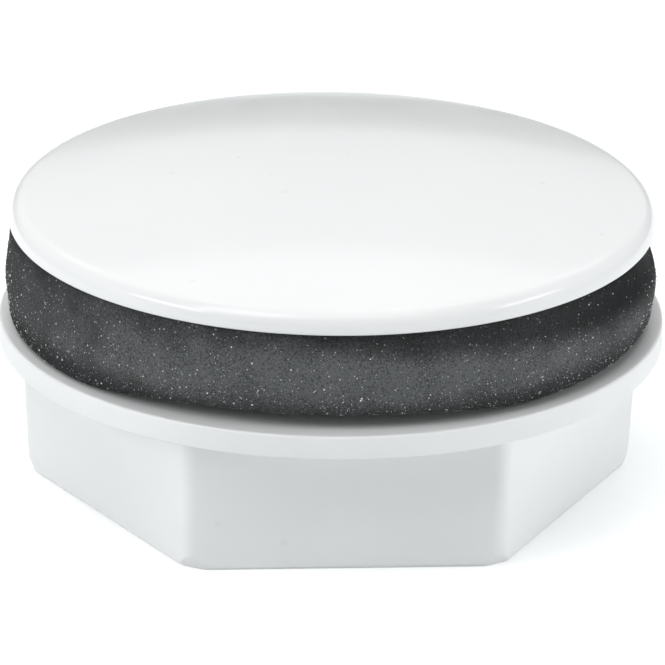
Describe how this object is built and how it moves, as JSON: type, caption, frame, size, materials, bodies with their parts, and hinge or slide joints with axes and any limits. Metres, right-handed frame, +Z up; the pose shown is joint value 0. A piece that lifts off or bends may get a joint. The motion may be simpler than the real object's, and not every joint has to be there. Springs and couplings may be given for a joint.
{
  "type": "tap hole blanking plug",
  "caption": "White domed plug that closes an unused tap hole: a round cap on a hollow threaded stem, a dark foam sealing washer and a flanged hexagonal back nut.",
  "frame": {"origin": "on the plug's axis, in the plane of the nut's underside, on which the plug stands", "axes": "+Z up along the axis, from the nut to the crown of the cap; one flat of the nut's hexagon faces -Y and two of its corners lie on X"},
  "size_m": [0.0462, 0.0462, 0.0223],
  "materials": {
    "cap_plastic": "glossy white moulded plastic",
    "washer_foam": "charcoal closed-cell foam with fine pale specks",
    "nut_plastic": "satin white moulded plastic"
  },
  "bodies": {
    "nut": {"flanged_nut": "nut_plastic"},
    "washer": {"foam_washer": "washer_foam"},
    "cap": {"domed_cap": "cap_plastic"}
  },
  "joints": [
    {"name": "cap_lift", "type": "slide", "parent": "nut", "child": "washer", "axis": [0, 0, 1], "range_m": [0, 0.00726]},
    {"name": "cap_turn", "type": "hinge", "parent": "washer", "child": "cap", "pos_m": [0, 0, 0.0185], "axis": [0, 0, 1], "range_deg": [0, 1440]}
  ],
  "couplings": [
    {"joint": "cap_turn", "follows": "cap_lift", "rad_per_m": 3463.7}
  ]
}
